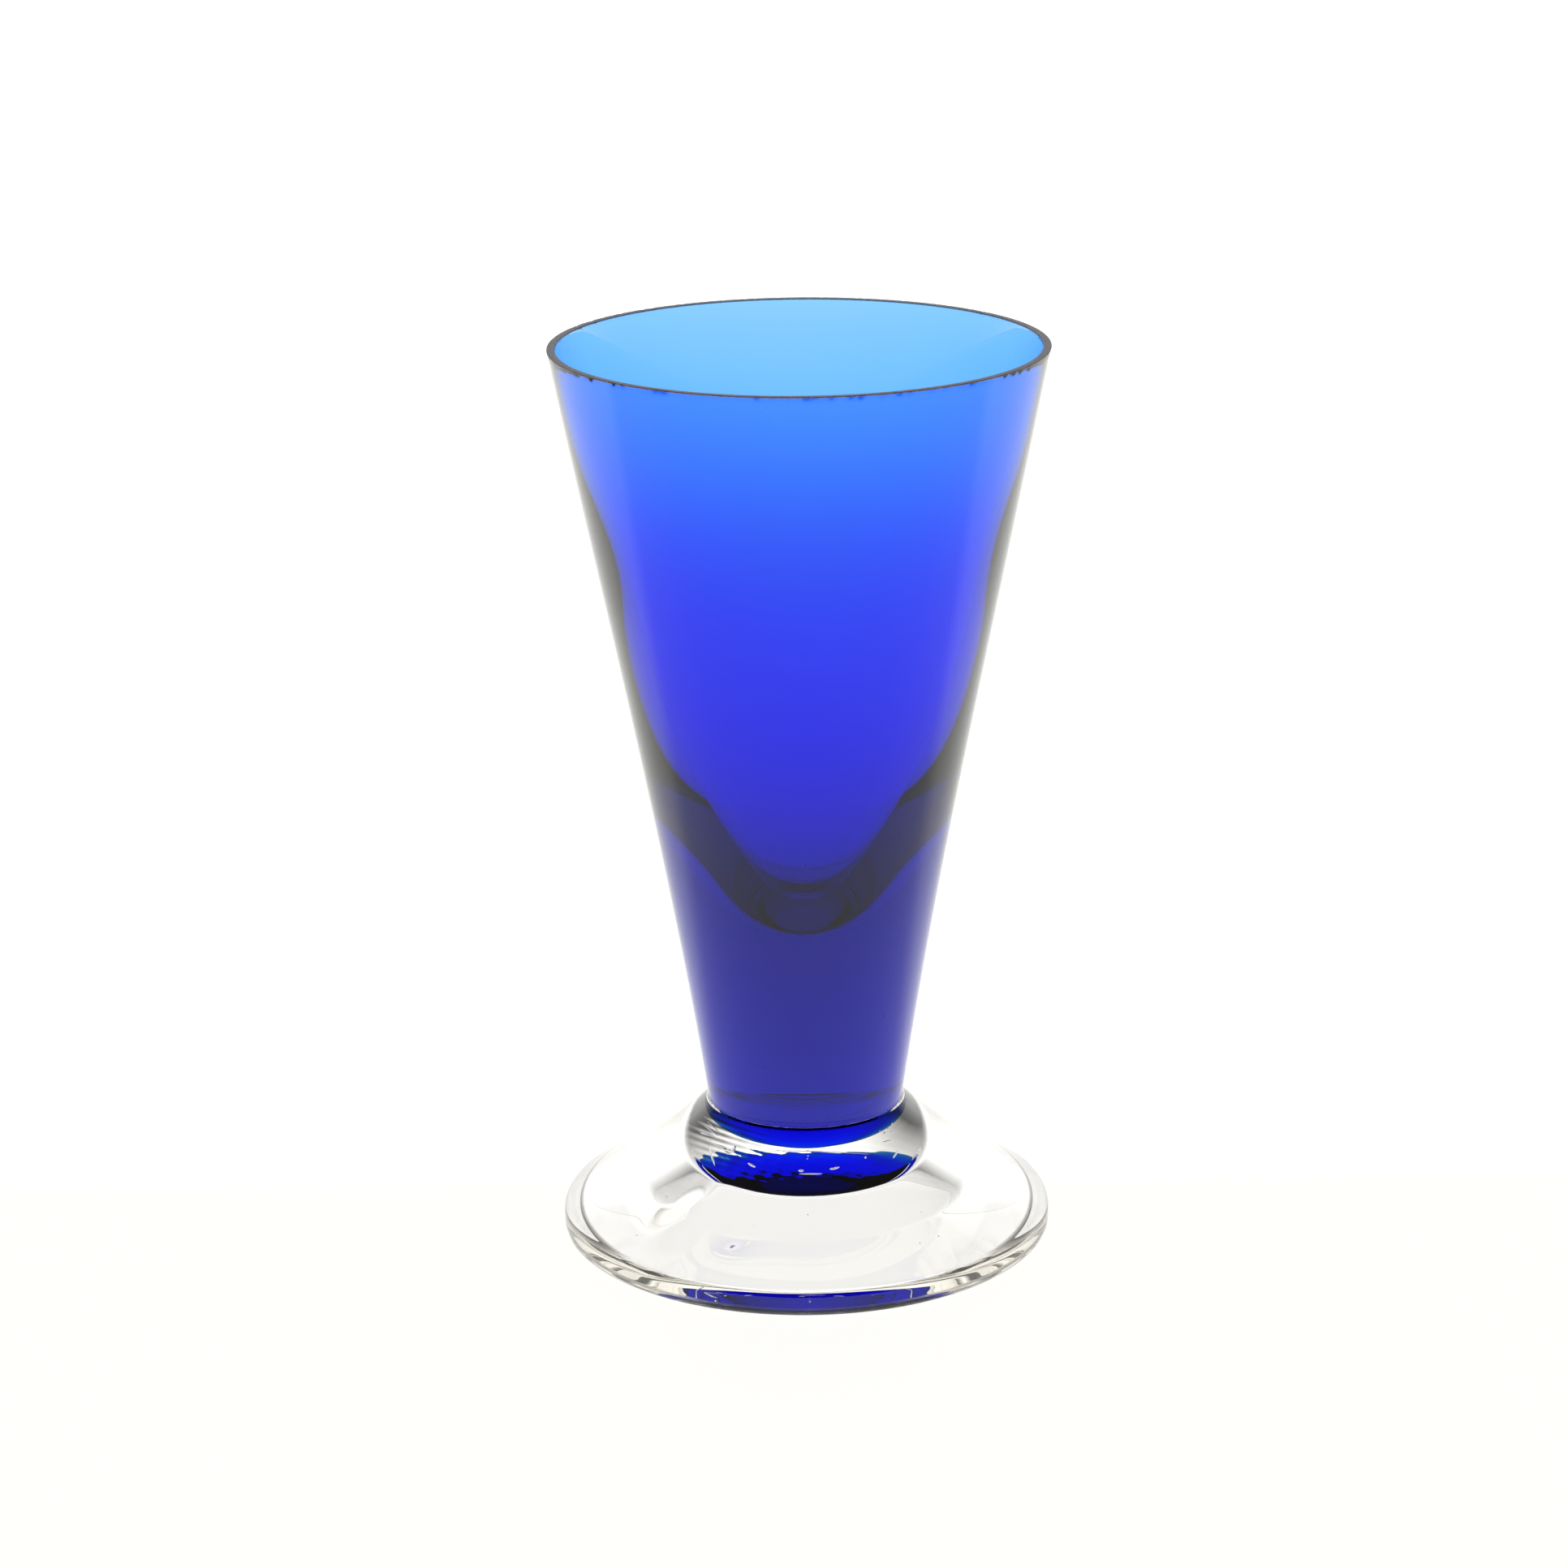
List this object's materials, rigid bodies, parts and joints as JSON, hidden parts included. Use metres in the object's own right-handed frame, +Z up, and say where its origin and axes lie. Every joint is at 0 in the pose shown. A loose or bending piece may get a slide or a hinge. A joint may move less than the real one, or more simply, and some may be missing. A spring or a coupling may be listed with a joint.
{
  "type": "footed glass vase",
  "caption": "Small footed conical vase: cobalt-blue glass bowl with a heavy solid base, fused to a clear hollow cone foot.",
  "frame": {"origin": "centre of the foot's flat rest ring, on the table", "axes": "+Z up along the vase's axis, out of its mouth; the shape is round, so X and Y are free"},
  "size_m": [0.0814, 0.0814, 0.15],
  "materials": {
    "blue_glass": "fire-polished cobalt-blue glass, rim ground flat",
    "clear_glass": "fire-polished clear glass"
  },
  "bodies": {
    "root": {"blue_bowl": "blue_glass", "clear_foot": "clear_glass"}
  },
  "joints": []
}
